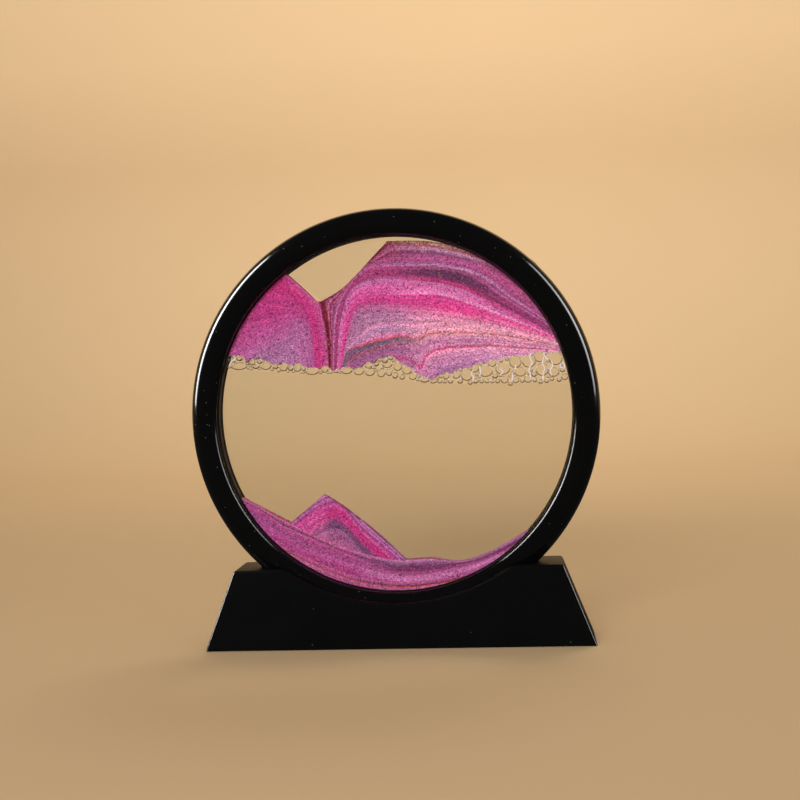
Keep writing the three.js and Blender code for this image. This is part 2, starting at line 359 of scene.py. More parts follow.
def frameOutline(side):
    s = frameSizes
    outside = arc(s["outer"] - s["outerRound"], s["outerRound"] - s["halfDepth"], s["outerRound"], 0, -90, 14)
    inside = arc(s["inner"] + s["innerRound"], s["innerRound"] - s["halfDepth"], s["innerRound"], 270, 198, 12)
    line = [(s["outer"] - s["chamfer"], -s["seam"]), (s["outer"], -s["seam"] - s["chamfer"])]
    line += outside + inside + [(s["lipRadius"] + 0.05, -s["lip"] + 0.12), (s["lipRadius"] + 0.25, -s["lip"])]
    line += [(s["pocket"], -s["lip"]), (s["pocket"], -s["seam"])]
    return [(r, y * side) for r, y in line]


def portPlace():
    return facing @ Matrix.Rotation(math.radians(90 - frameSizes["portAngle"]), 4, "Y")


def makeFrame(material):
    s = frameSizes
    for name, side, node in (("frontFrame", 1, "front_frame"), ("rearFrame", -1, "rear_frame")):
        half = meshed(spunRing(frameOutline(side)), name, material)
        cut(half, cylinder(s["portRadius"], s["portFrom"], s["portTo"], portPlace()))
        placed(half, "picture", node)


# radius and distance from the middle of the picture
plugOutline = [(0, 77.5), (0.7, 77.5), (0.9, 77.7), (0.9, 85.2), (2.3, 85.2), (2.5, 85.4), (2.5, 88.75),
               (2.42, 88.95), (2.2, 89.08), (1.2, 89.18), (1.1, 88.9), (0, 88.85)]


def makePlug(material):
    bm = spunUpright(plugOutline)
    bmesh.ops.transform(bm, matrix=portPlace(), verts=bm.verts)
    placed(meshed(bm, "fillPlug", material), "picture", "fill_plug")


cellRings = dict(inner=77.2, outer=84.4, wall=1.8, wallEdge=0.2, sealLow=2.1, sealHigh=2.7, sealEdge=0.15,
                 hole=1.2, holeFrom=75, holeTo=86)


def roundedWasher(inner, outer, low, high, edge):
    return [(inner + edge, low), (outer - edge, low), (outer, low + edge), (outer, high - edge),
            (outer - edge, high), (inner + edge, high), (inner, high - edge), (inner, low + edge)]


def makeCell(wallMaterial, sealMaterial):
    s = cellRings
    outline = roundedWasher(s["inner"], s["outer"], -s["wall"], s["wall"], s["wallEdge"])
    wall = meshed(spunRing(outline), "cellWall", wallMaterial)
    cut(wall, cylinder(s["hole"], s["holeFrom"], s["holeTo"], portPlace(), 24))
    placed(wall, "picture", "cell_wall")
    for name, node, side in (("frontSeal", "front_seal", -1), ("rearSeal", "rear_seal", 1)):
        low, high = sorted((side * s["sealLow"], side * s["sealHigh"]))
        outline = roundedWasher(s["inner"], s["outer"], low, high, s["sealEdge"])
        placed(meshed(spunRing(outline), name, sealMaterial), "picture", node)


# edges of the sand and the bubbles, as x and height above the middle of the picture, in millimetres
sandSizes = dict(radius=76.95, depth=2.7, grid=0.5, notch=-27, lean=12, ragged=0.05)
topLeft = [(-100, 110), (-44, 62.4), (-30, 50)]
topRight = [(-30, 50), (-22, 54.2), (-15, 60), (-6, 69), (0, 74.8)]
crest = [(0, 74.8), (13, 74.4), (23, 73), (34, 69.8), (52, 61), (84, 40)]
sandBottom = [(-84, 30), (-70, 28), (-64, 24.5), (-44, 23.3), (-24, 19.3), (-12, 22), (-2, 25.2), (4, 23),
              (11, 17), (17, 15.3), (24, 17.2), (45, 22.3), (62, 24.4), (84, 24.4)]
bubbleBottom = [(-84, 22.5), (-68, 21.5), (-36, 18.4), (-14, 18), (0, 15.7), (15, 13), (40, 12), (62, 11.8),
                (84, 13)]
bedTop = [(-84, -26), (-67.5, -35.5), (-45, -47.8), (-26, -57), (-8, -62.5), (3, -63.8), (14, -63.4),
          (26, -65), (36, -62.8), (50, -56), (84, -35)]
peakTop = [(-53, -51.3), (-32, -34.4), (-24.5, -39.4), (-14.7, -47.2), (-6.6, -54.4), (6, -67)]


# a smooth line through the points
def curved(points, steps=8):
    line = []
    for i in range(len(points) - 1):
        p0, p1 = points[max(i - 1, 0)], points[i]
        p2, p3 = points[i + 1], points[min(i + 2, len(points) - 1)]
        for k in range(steps):
            t = k / steps
            line.append(tuple(
                0.5 * (2 * b + (c - a) * t + (2 * a - 5 * b + 4 * c - d) * t * t
                       + (3 * b - a - 3 * c + d) * t ** 3) for a, b, c, d in zip(p0, p1, p2, p3)))
    return np.array(line + [points[-1]])


def heightOn(points, x, straight=False):
    line = np.array(points) if straight else curved(points)
    return np.interp(x, line[:, 0], line[:, 1])


def insideCell(x):
    return math.sqrt(max(sandSizes["radius"] ** 2 - x * x, 0.0))


rowOfBubbles = [  # x, height, half width, half height
    (-67.3, 23.1, 3.7, 1.7), (-67, 26.6, 1.4, 1.4), (-61.4, 24.7, 1.5, 1.5), (-58.1, 25, 1.3, 1.3),
    (-59.8, 22.9, 1.6, 1.4), (-55.4, 22.9, 2.5, 1.9), (-51.1, 22.4, 1.3, 1.2), (-47.6, 22.1, 1.9, 2),
    (-44.5, 21.5, 1.2, 1.4), (-41.5, 21.7, 1.8, 2.1), (-38.7, 21.1, 1, 1.2), (-35.1, 19.8, 3, 1.7),
    (-29.5, 20.5, 1.7, 1.6), (-24.5, 19.5, 1.1, 1), (-20, 19.6, 2.7, 1.6), (-14.6, 19.1, 2.3, 1.8),
    (-10.3, 21.5, 1.8, 1.5), (-9.8, 18.5, 2.2, 1.7), (-6.7, 22, 1.1, 1.1), (-3, 23.5, 1.4, 1.4),
    (-0.5, 24.4, 1.1, 1.1), (-2.1, 21.8, 2.3, 1.8), (-4.8, 17.9, 1.8, 1.8), (-1.4, 18.2, 1.5, 1.7),
    (1.2, 16.7, 1.3, 1.5), (8.9, 16.1, 1.8, 1.7), (14, 14.3, 2.2, 1.2), (17.7, 13.6, 1.6, 1),
    (29.3, 13.4, 1.3, 1.3), (33.6, 12.6, 1.1, 1.1), (50.9, 11.6, 1.1, 1.1), (63.9, 12, 1.1, 1.1),
    (66.5, 12.3, 1.1, 1.1), (71.8, 12.6, 1.1, 1.1), (74.2, 13.7, 1.5, 1.5)]
packing = dict(seed=11, tries=2400, overlap=0.94, clear=0.2, row=(3.0, 75), rowSizes=(0.9, 1.65), rowStep=1.92)
packingZones = [  # from x, to x, radii
    (-15, 24, (1.9, 1.5, 1.2, 0.9, 0.7)), (22, 76.5, (2.9, 2.3, 1.8, 1.3, 0.9, 0.7)), (-75, -15, (0.8, 0.6))]
bubbleSizes = dict(halfDepth=2.72, edge=0.55, large=1.4)
filmSizes = dict(front=2.66, depth=0.5, thickness=0.5)
filmLines = [
    [(-68.9, 28.2), (-69.9, 27.6), (-69.1, 26.6), (-70.7, 25.3), (-71.9, 23.4)],
    [(34.6, 17.8), (34.1, 16.1), (34.9, 14.3), (34.5, 13)], [(38.2, 19.4), (38.5, 17.2), (38, 15.1)],
    [(47.2, 18.6), (46.4, 17.8), (47.6, 16.9), (46.7, 15.6)], [(51.9, 16.3), (52.3, 14.6), (51.8, 12.4)],
    [(53.8, 19.3), (53.3, 17.6)], [(60.5, 24.2), (59.9, 22.1), (60.7, 19.9), (59.4, 17.8), (59.7, 15.2), (60.1, 13)],
    [(65.7, 24.2), (66, 22.8), (65.1, 20.2), (65.9, 17.6), (65.3, 15), (65.2, 12.6)], [(66, 22.8), (67.3, 21.4)],
    [(69, 20.5), (69.4, 18.3), (68.4, 16.6), (68.8, 14.4)], [(72.9, 19.5), (72.8, 17.3)],
    [(73.6, 20.1), (74.4, 18.6), (74, 17)]]


def packedBubbles():
    s = packing
    chance = random.Random(s["seed"])
    bubbles = list(rowOfBubbles)

    def tried(x, z, wide, tall):
        apart = all(math.hypot((x - bx) / (wide + bw), (z - bz) / (tall + bt)) > s["overlap"]
                    for bx, bz, bw, bt in bubbles)
        if apart and math.hypot(abs(x) + wide, z) < sandSizes["radius"] - s["clear"]:
            bubbles.append((x, z, wide, tall))
            return True
        return False

    x, end = s["row"]
    while x < end:  # the scalloped lower edge
        radius = chance.uniform(*s["rowSizes"])
        level = heightOn(bubbleBottom, x + radius) + radius * 0.9
        x += radius * s["rowStep"] if tried(x + radius, level, radius * 1.06, radius) else 0.35
    for low, high, sizes in packingZones:
        for radius in sizes:
            for _ in range(s["tries"] // len(sizes)):
                x = chance.uniform(low, high)
                floor, ceiling = heightOn(bubbleBottom, x) + radius, heightOn(sandBottom, x) - radius * 0.75
                if ceiling >= floor:
                    tried(x, chance.uniform(floor, ceiling), radius * chance.uniform(0.92, 1.12),
                          radius * chance.uniform(0.9, 1.06))
    return bubbles


# a flattened bubble that touches both panes
def addBubble(bm, x, z, wide, tall):
    s = bubbleSizes
    large = min(wide, tall) > s["large"]
    edge = min(s["edge"], 0.4 * min(wide, tall))
    ring = bmesh.ops.create_circle(bm, cap_ends=True, segments=20 if large else 12, radius=mm)
    bmesh.ops.scale(bm, vec=(wide, tall, 1), verts=ring["verts"])
    place = Matrix.Translation((x * mm, -s["halfDepth"] * mm, (centreZ + z) * mm))
    bmesh.ops.transform(bm, matrix=place @ Matrix.Rotation(math.pi / 2, 4, "X"), verts=ring["verts"])
    face = ring["verts"][0].link_faces[0]
    rims = list(face.edges)
    pushed = bmesh.ops.extrude_face_region(bm, geom=[face], use_keep_orig=True)
    bmesh.ops.translate(bm, vec=(0, 2 * s["halfDepth"] * mm, 0), verts=movedVerts(pushed))
    rims += [e for e in pushed["geom"] if isinstance(e, bmesh.types.BMEdge)]
    bmesh.ops.bevel(bm, geom=rims, offset=edge * mm, offset_type="OFFSET", affect="EDGES",
                    segments=2 if large else 1, profile=0.5, material=-1)


def makeBubbles(bubbles, material):
    bm = bmesh.new()
    for bubble in bubbles:
        addBubble(bm, *bubble)
    layer = meshed(bm, "bubbleLayer", material, sharpAngle=80)
    placed(layer, "contents", "bubble_layer", sharpAngle=80)
    print("bubbles:", len(bubbles), "faces:", len(layer.data.polygons))


# the films of liquid between large bubbles, drawn white: their colour is a painted highlight
def makeFilms(material):
    s = filmSizes
    bm = bmesh.new()
    for line in filmLines:
        path = curved(line, 5)
        corners = [bm.verts.new((x * mm, -s["front"] * mm, (centreZ + z) * mm)) for x, z in path]
        edges = [bm.edges.new(pair) for pair in zip(corners, corners[1:])]
        pushed = bmesh.ops.extrude_edge_only(bm, edges=edges)
        bmesh.ops.translate(bm, vec=(0, s["depth"] * mm, 0), verts=movedVerts(pushed))
    bmesh.ops.recalc_face_normals(bm, faces=bm.faces)
    bmesh.ops.solidify(bm, geom=bm.faces[:], thickness=s["thickness"] * mm)
    placed(meshed(bm, "bubbleFilms", material), "contents")


upperLines = [  # the layers of the upper right sand, from the crest inwards
    [(-26.6, 10), (-27, 24), (-27.5, 36), (-29.6, 50), (-22, 54.6), (-15, 60.3), (-6, 69.3), (0, 75.2), (13, 74.9),
     (23, 73.5), (34, 70.3), (52, 61.5), (66, 50), (80, 27)],
    [(-25.8, 10), (-25.2, 29), (-23.2, 45), (-18.3, 55), (-9.7, 63.6), (1.6, 64.4), (20, 64), (32, 61.7),
     (41, 57.8), (51.5, 49), (66.5, 38.2), (80, 26.5)],
    [(-24.4, 10), (-22.8, 32.7), (-19.8, 47), (-15.4, 55), (-6, 58.3), (8.4, 57.8), (22, 56), (31.7, 53),
     (47.6, 45), (68.8, 32.8), (80, 26)],
    [(-23.4, 10), (-21.2, 30.6), (-17.4, 45.4), (-10, 51), (5.2, 50.4), (21.8, 50), (40.4, 43.4), (61.7, 34.4),
     (73.7, 28.9), (80, 25.7)],
    [(-22.6, 10), (-20.2, 28.5), (-16.2, 42.5), (-12.3, 46.3), (5, 45.9), (21.6, 44), (40, 39.8), (61.6, 33.3),
     (73.7, 28.4), (80, 25.4)],
    [(-23, 12), (-22.4, 19.5), (-21, 24.8), (-19.2, 28.2), (-10, 31), (1.3, 33.3), (6.7, 33.8), (11.8, 31.9),
     (16.7, 34.2), (30, 34.4), (47, 32.4), (61.5, 29.5), (73.6, 26.6), (80, 25)],
    [(-20, 17), (-10.3, 20.7), (1.8, 24.4), (6.4, 24), (9.8, 22.2), (12.4, 19), (13.4, 21.4), (16.4, 26.1),
     (25.2, 28.3), (43.4, 28.2), (57.8, 26.6), (73.9, 24.9), (80, 24.4)],
    [(-30, 12), (0, 12), (12, 13), (24, 15), (45, 20), (62, 22), (80, 22)]]
leftLines = [
    [(-70, 84), (-44, 62.6), (-30, 50.3), (-28.6, 44), (-27.4, 34), (-27, 24), (-26.8, 10)],
    [(-72, 82), (-45, 60.4), (-33, 48), (-31, 40), (-30, 34), (-29.6, 24), (-29.4, 10)],
    [(-75, 79), (-48, 58), (-37, 47), (-34.6, 38), (-33.4, 30), (-33, 24), (-32.8, 10)],
    [(-90, 20), (-70.7, 26), (-60, 33.2), (-46, 40.5), (-39.4, 42.4), (-35.4, 38), (-34.4, 30), (-34, 10)],
    [(-90, 8), (-60, 16), (-44, 16), (-40, 8)]]
peakLines = [
    [(-70, -64.6), (-31.2, -34.3), (-14.7, -47), (10, -70)],
    [(-70, -72), (-31.2, -42), (-14.7, -54), (10, -78)],
    [(-70, -80), (-31.2, -50), (-14.7, -61), (10, -86)],
    [(-70, -92), (-31.2, -62), (-14.7, -72), (10, -96)]]
bedLines = [
    [(-90, -22), (-67.5, -35.3), (-45, -47.6), (-26, -56.8), (-8, -62.3), (3, -63.6), (14, -63.2), (26, -64.8),
     (36, -62.6), (50, -55.8), (90, -31)],
    [(-90, -28), (-63, -39.4), (-51.7, -47.9), (-37.8, -54.6), (-19.3, -62.9), (-5.4, -67.8), (6.4, -69),
     (23, -66.8), (44, -61), (90, -36)],
    [(-90, -38), (-56.4, -48.6), (-42.6, -57.6), (-19.4, -66.6), (-5.4, -70.7), (6.4, -72), (23, -69.5),
     (40, -64.2), (90, -42)],
    [(-90, -48), (-52, -58), (-42.8, -62.5), (-31.2, -67.9), (-17.3, -72.9), (2.3, -75.2), (14.6, -74.2),
     (23, -73), (40, -68), (90, -52)],
    [(-90, -60), (-50, -70), (-20, -79), (0, -81), (20, -79), (50, -70), (90, -58)]]


# how far each point lies inside a line, below zero where it lies outside
def beyond(points, line):
    path = curved(line, 5)
    start, run = path[:-1], np.diff(path, axis=0)
    away = points[:, None, :] - start[None]
    share = np.clip((away * run).sum(2) / (run ** 2).sum(1), 0, 1)
    gap = away - share[..., None] * run
    distance = np.hypot(gap[..., 0], gap[..., 1])
    nearest = distance.argmin(1)
    rows = np.arange(len(points))
    side = run[nearest, 1] * away[rows, nearest, 0] - run[nearest, 0] * away[rows, nearest, 1]
    return np.sign(side) * distance[rows, nearest]


# 0 on the first line, 1 on the last, rising evenly from line to line
def layerAt(points, lines):
    gaps = [beyond(points, line) for line in lines]
    value = np.zeros(len(points))
    for k, (outer, inner) in enumerate(zip(gaps, gaps[1:])):
        share = np.clip(outer / np.maximum(outer - inner, 1e-6), 0, 1)
        value = np.where(outer > 0, k + np.where(inner > 0, 1, share), value)
    return value / (len(lines) - 1)


def ease(value, low, high):
    t = np.clip((value - low) / (high - low), 0, 1)
    return t * t * (3 - 2 * t)


# the crack between the two upper heaps
def veinX(z):
    return np.interp(z, [10, 30, 40, 50, 60], [-26.8, -27, -27.6, -29.8, -30])


# a heap from pane to pane; veined is the side of the crack that it lies on
def addSand(name, node, span, top, bottom, lines, change, material, veined=0):
    s = sandSizes
    filled = [x for x in np.linspace(*span, 280) if top(x) > bottom(x)]
    start, end = filled[0], filled[-1]
    samples = [start + (end - start) * i / 8 for i in range(9)]
    rows = max(8, int(max(top(x) - bottom(x) for x in samples) / s["grid"]))
    bm = bmesh.new()
    bmesh.ops.create_grid(bm, x_segments=int((end - start) / s["grid"]), y_segments=rows, size=1)
    chance = random.Random(name)
    limits = {}
    for vert in bm.verts:
        u, w = round((vert.co.x + 1) / 2, 5), (vert.co.y + 1) / 2
        x = start + (end - start) * u
        if u not in limits:
            limits[u] = bottom(x), max(top(x), bottom(x) + 0.02)
        low, high = limits[u]
        z = low + (high - low) * w
        if 0.999 < w or w < 0.001:
            z += chance.gauss(0, s["ragged"])
        if veined:
            x += (veinX(z) - s["notch"]) * math.exp(-abs(x - (end if veined < 0 else start)) / s["lean"])
        reach = math.hypot(x, z)
        if reach > s["radius"]:
            x, z = x * s["radius"] / reach, z * s["radius"] / reach
        vert.co = Vector((x * mm, -s["depth"] * mm, (centreZ + z) * mm))
    pushed = bmesh.ops.extrude_face_region(bm, geom=bm.faces[:], use_keep_orig=True)
    bmesh.ops.translate(bm, vec=(0, 2 * s["depth"] * mm, 0), verts=movedVerts(pushed))
    piece = placed(meshed(bm, name, material, sharpAngle=60), "contents", node, sharpAngle=60)
    spots = np.empty(len(piece.data.vertices) * 3)
    piece.data.vertices.foreach_get("co", spots)
    spots = spots.reshape(-1, 3) / mm
    flat = np.column_stack((spots[:, 0], spots[:, 2] - centreZ))
    width = np.interp(flat[:, 1], [15, 25, 38, 44, 50], [0.45, 0.6, 1.0, 1.5, 0.5])
    vein = 1 - ease(np.abs(flat[:, 0] - veinX(flat[:, 1])), width * 0.6, width * 1.25)
    values = {"layer": layerAt(flat, lines), "across": ease(flat[:, 0], *change),
              "beside": ease(flat[:, 0], 32, 50), "vein": vein if veined else 0 * vein}
    for key, column in values.items():
        piece.data.attributes.new(key, "FLOAT", "POINT").data.foreach_set("value", column.astype(np.float32))
    print("sand:", name, len(piece.data.polygons), "faces")


# colours from the outermost layer to the innermost, on the left, on the right and, on the upper heap, beyond it
upperStops = dict(
    left=[(0, (96, 22, 46)), (0.03, (120, 34, 60)), (0.055, (190, 92, 140)), (0.075, (112, 30, 56)),
          (0.098, (184, 78, 132)), (0.12, (128, 52, 92)), (0.14, (186, 104, 156)), (0.165, (174, 66, 120)),
          (0.25, (158, 50, 104)), (0.284, (188, 100, 158)), (0.33, (206, 90, 154)),
          (0.39, (216, 84, 152)), (0.45, (208, 62, 136)), (0.50, (190, 58, 124)), (0.56, (182, 88, 140)),
          (0.615, (170, 106, 150)), (0.655, (206, 122, 168)), (0.682, (166, 114, 154)), (0.70, (218, 118, 168)),
          (0.711, (208, 76, 128)), (0.7165, (196, 92, 62)), (0.722, (118, 82, 112)), (0.745, (124, 86, 120)),
          (0.765, (172, 84, 104)), (0.775, (162, 88, 138)), (0.845, (180, 96, 146)), (0.857, (192, 46, 118)),
          (0.87, (164, 94, 146)), (1, (180, 108, 164))],
    right=[(0, (104, 34, 44)), (0.018, (206, 146, 138)), (0.032, (152, 62, 78)), (0.048, (212, 142, 178)),
           (0.07, (132, 70, 110)), (0.11, (186, 80, 138)), (0.135, (158, 76, 126)), (0.146, (196, 122, 168)),
           (0.17, (148, 66, 112)), (0.205, (98, 50, 84)), (0.245, (116, 50, 92)),
           (0.286, (206, 56, 122)), (0.30, (202, 104, 158)), (0.35, (216, 100, 164)), (0.385, (226, 114, 174)),
           (0.398, (228, 140, 184)), (0.415, (226, 88, 160)), (0.45, (226, 66, 144)), (0.55, (220, 66, 136)),
           (0.63, (236, 142, 178)), (0.706, (234, 146, 172)), (0.713, (214, 110, 110)),
           (0.7155, (170, 72, 48)), (0.722, (216, 120, 136)), (0.73, (232, 150, 178)),
           (0.775, (206, 122, 164)), (0.80, (190, 104, 150)), (0.84, (222, 138, 178)), (0.857, (206, 54, 116)),
           (0.872, (228, 136, 174)), (0.93, (204, 122, 172)), (1, (160, 98, 150))],
    beside=[(0, (140, 44, 74)), (0.03, (190, 80, 128)), (0.06, (156, 62, 112)), (0.1, (196, 84, 140)),
            (0.13, (150, 62, 116)), (0.143, (204, 120, 172)), (0.16, (150, 62, 116)), (0.185, (190, 84, 140)),
            (0.21, (132, 54, 98)), (0.245, (168, 62, 118)), (0.265, (124, 52, 92)), (0.29, (200, 66, 132)),
            (0.35, (214, 92, 158)), (0.385, (222, 106, 168)), (0.398, (234, 150, 192)), (0.42, (222, 84, 152)),
            (0.5, (228, 76, 146)), (0.58, (230, 112, 160)), (0.65, (236, 146, 178)), (0.706, (232, 138, 166)),
            (0.7155, (176, 80, 56)), (0.73, (230, 146, 174)), (0.78, (212, 122, 164)), (0.845, (226, 140, 178)),
            (0.857, (196, 66, 88)), (0.872, (228, 140, 178)), (1, (206, 132, 178))])
leftStops = dict(
    left=[(0, (112, 30, 62)), (0.02, (150, 50, 100)), (0.06, (176, 70, 130)), (0.2, (192, 62, 128)),
          (0.34, (194, 50, 122)), (0.52, (196, 48, 120)), (0.66, (190, 58, 128)), (0.76, (182, 80, 142)),
          (0.86, (168, 102, 150)), (1, (176, 108, 154))],
    right=[(0, (84, 14, 32)), (0.04, (112, 26, 54)), (0.08, (170, 70, 116)), (0.12, (184, 78, 134)),
           (0.25, (192, 66, 130)), (0.36, (194, 52, 122)), (0.5, (188, 50, 118)), (0.58, (186, 66, 130)),
           (0.7, (184, 70, 134)), (0.77, (176, 88, 144)), (0.88, (184, 104, 158)), (1, (196, 92, 146))])
peakStops = dict(
    left=[(0, (160, 70, 130)), (0.03, (204, 108, 172)), (0.07, (146, 62, 118)), (0.11, (196, 96, 158)),
          (0.15, (146, 62, 116)), (0.21, (204, 74, 146)), (0.3, (196, 58, 136)), (0.36, (206, 92, 152)),
          (0.42, (190, 54, 126)), (0.52, (204, 88, 150)), (0.62, (158, 82, 130)), (0.75, (190, 96, 146)),
          (1, (196, 84, 144))],
    right=[(0, (152, 62, 126)), (0.03, (210, 116, 184)), (0.06, (130, 62, 110)), (0.1, (204, 106, 172)),
           (0.14, (138, 64, 116)), (0.2, (200, 66, 138)), (0.25, (198, 82, 148)), (0.3, (184, 38, 112)),
           (0.38, (196, 52, 126)), (0.46, (176, 50, 116)), (0.53, (130, 64, 110)), (0.62, (122, 66, 108)),
           (0.72, (158, 82, 130)), (0.82, (184, 90, 142)), (1, (176, 84, 136))])
bedStops = dict(
    left=[(0, (170, 54, 50)), (0.018, (206, 104, 148)), (0.07, (186, 78, 136)), (0.13, (120, 52, 96)),
          (0.2, (182, 88, 144)), (0.27, (176, 62, 124)), (0.36, (156, 72, 126)), (0.44, (172, 72, 134)),
          (0.5, (184, 76, 140)), (0.6, (176, 62, 126)), (0.7, (186, 78, 138)), (0.745, (152, 66, 66)),
          (0.76, (198, 96, 146)), (0.85, (186, 66, 126)), (1, (166, 50, 106))],
    right=[(0, (168, 60, 62)), (0.02, (196, 118, 166)), (0.08, (150, 76, 128)), (0.15, (112, 54, 94)),
           (0.24, (134, 54, 100)), (0.28, (180, 66, 126)), (0.33, (148, 74, 120)), (0.4, (192, 92, 150)),
           (0.52, (204, 116, 168)), (0.62, (190, 86, 144)), (0.7, (176, 74, 130)), (0.742, (116, 50, 46)),
           (0.765, (168, 66, 58)), (0.785, (204, 98, 148)), (0.87, (186, 66, 126)), (1, (168, 56, 110))])
sandLook = dict(gain=1.17, grainScale=2500.0, wobble=0.018, mingled=0.013, streak=0.28)


def sandFinish(name, stops):
    look = sandLook
    finish = Finish(name)
    place = finish.place()
    layer, across, beside, vein = (finish.attribute(key) for key in ("layer", "across", "beside", "vein"))
    drift = finish.noise(place, 55, 3.0)
    fine = finish.noise(place, 700)
    middle = finish.cells(place, look["grainScale"])
    split = finish.node("ShaderNodeSeparateColor", None, {"Color": middle.sibling("Color")})
    second, third = split.sibling(1), split.sibling(2)
    level = (layer + (drift - 0.5) * look["wobble"] + (fine - 0.5) * look["wobble"]
             + (third - 0.5) * look["mingled"])
    bands = [finish.node("ShaderNodeValToRGB",
                         {"stops": [(at, linear(*colour, look["gain"])) for at, colour in stops[side]]},
                         {"Fac": level}) for side in stops]
    edge = across + (drift - 0.5) * 0.6
    colour = finish.mixed(finish.clamped(edge), *bands[:2])
    if len(bands) > 2:
        colour = finish.mixed(beside, colour, bands[2])
    x, y, _ = finish.parts(place)
    along = finish.node("ShaderNodeCombineXYZ", None, {0: layer * 46.0, 1: x * 22.0, 2: y * 60.0})
    streak = finish.noise(along, 1.0, 3.0, 0.6)
    grey = finish.node("ShaderNodeValToRGB", {"stops": [
        (0.3, (1 - look["streak"],) * 3 + (1,)), (0.5, (1, 1, 1, 1)), (0.72, (1 + look["streak"],) * 3 + (1,))]},
        {"Fac": streak})
    colour = finish.mixed(1.0, colour, grey, "MULTIPLY")
    cloud = finish.noise(place, 130, 3.0, 0.6)
    violet = finish.mixed(1.0, colour, (0.86, 1.22, 1.12, 1), "MULTIPLY")
    colour = finish.mixed(cloud, colour, violet)
    crack = vein * (0.75 + (fine - 0.5) * 1.6 + (third - 0.5) * 1.1)
    rust = finish.mixed(split, linear(84, 10, 26), linear(150, 34, 62))
    colour = finish.mixed(finish.clamped(crack), colour, rust)
    grain = finish.node("ShaderNodeValToRGB", {"stops": [
        (0.0, (0.24, 0.21, 0.28, 1)), (0.12, (0.40, 0.36, 0.46, 1)), (0.2, (0.9, 0.88, 0.92, 1)),
        (0.5, (1, 1, 1, 1)), (0.78, (1.1, 1.12, 1.1, 1)), (0.88, (1.4, 1.55, 1.4, 1)), (1, (1.7, 2.1, 1.7, 1))]},
        {"Fac": split})
    colour = finish.mixed(1.0, colour, grain, "MULTIPLY")
    colour = finish.mixed((second > 0.988) * 0.7, colour, linear(214, 150, 96))
    return finish.surface(Base_Color=colour, Roughness=0.62 + split * 0.25, Specular_IOR_Level=0.25,
                          Normal=finish.bump(1 - middle, 0.35, 8e-5))


sandRest = dict(sink=0.9, clear=0.12, slope=0.9, reach=(-1.2, -0.8, -0.4, 0, 0.4, 0.8, 1.2))


def makeSand(bubbles):
    ellipses = np.array(bubbles)
    s, notch, lean = sandRest, sandSizes["notch"], sandSizes["lean"]

    def restingBottom(x):  # on the tops of the bubbles, and a little into the gaps between them
        level = heightOn(sandBottom, x) - s["sink"]
        across = (x - ellipses[:, 0]) / (ellipses[:, 2] + s["clear"])
        under = np.abs(across) < 1
        tops = ellipses[:, 1] + (ellipses[:, 3] + s["clear"]) * np.sqrt(1 - np.where(under, across, 0) ** 2)
        return float(max(level, tops[under].max(initial=-99)))

    def softBottom(x):
        return max(restingBottom(x + away) - abs(away) * s["slope"] for away in s["reach"])

    def leftTop(x):
        return min(heightOn(topLeft, min(x, -30)), insideCell(x))

    def rightTop(x):
        if x < 0:
            return min(heightOn(topRight, min(x - 3 * math.exp(-(x - notch) / lean), 0)), insideCell(x))
        return min(heightOn(crest, x), insideCell(x))

    addSand("upperSandLeft", "upper_sand_left", (-75.4, notch), leftTop, softBottom, leftLines,
            (-52, -34), sandFinish("pinkSand", leftStops), veined=-1)
    addSand("upperSandRight", "upper_sand_right", (notch, 76), rightTop, softBottom, upperLines,
            (-6, 24), sandFinish("bandedSand", upperStops), veined=1)
    addSand("lowerSandBed", "lower_sand_bed", (-70.8, 66.5),
            lambda x: heightOn(bedTop, x), lambda x: -insideCell(x), bedLines, (-24, 0),
            sandFinish("bedSand", bedStops))
    addSand("lowerSandPeak", "lower_sand_peak", (-46.5, 2.6),
            lambda x: heightOn(peakTop, x, straight=True), lambda x: heightOn(bedTop, x) + 0.03,
            peakLines, (-34, -28), sandFinish("peakSand", peakStops))


# the base, in millimetres above the floor
baseSizes = dict(bottomHalf=84, topHalf=71, bottomDepth=16, topDepth=13, low=0.3, high=34.3, edge=1.1, wall=2.5,
                 saddle=86, saddleLow=19.2, blend=10, groove=9.4, play=0.4, grooveFloor=92,
                 post=3.4, postLow=3.3, postHigh=20, hole=1.7, holeHigh=10.6, screwX=40)


def saddleOutline():
    b = baseSizes
    centre = b["saddleLow"] + b["saddle"]
    drop = centre - (b["high"] - b["blend"])
    across = math.sqrt((b["saddle"] + b["blend"]) ** 2 - drop ** 2)
    meet = math.degrees(math.atan2(drop, across))
    low = b["high"] - b["blend"]
    dip = arc(0, centre, b["saddle"], 180 + meet, 360 - meet, 72)[1:-1]
    return arc(-across, low, b["blend"], 90, meet, 10) + dip + arc(across, low, b["blend"], 180 - meet, 90, 10)


def depthAt(z):
    b = baseSizes
    return b["bottomDepth"] + (b["topDepth"] - b["bottomDepth"]) * (z - b["low"]) / (b["high"] - b["low"])


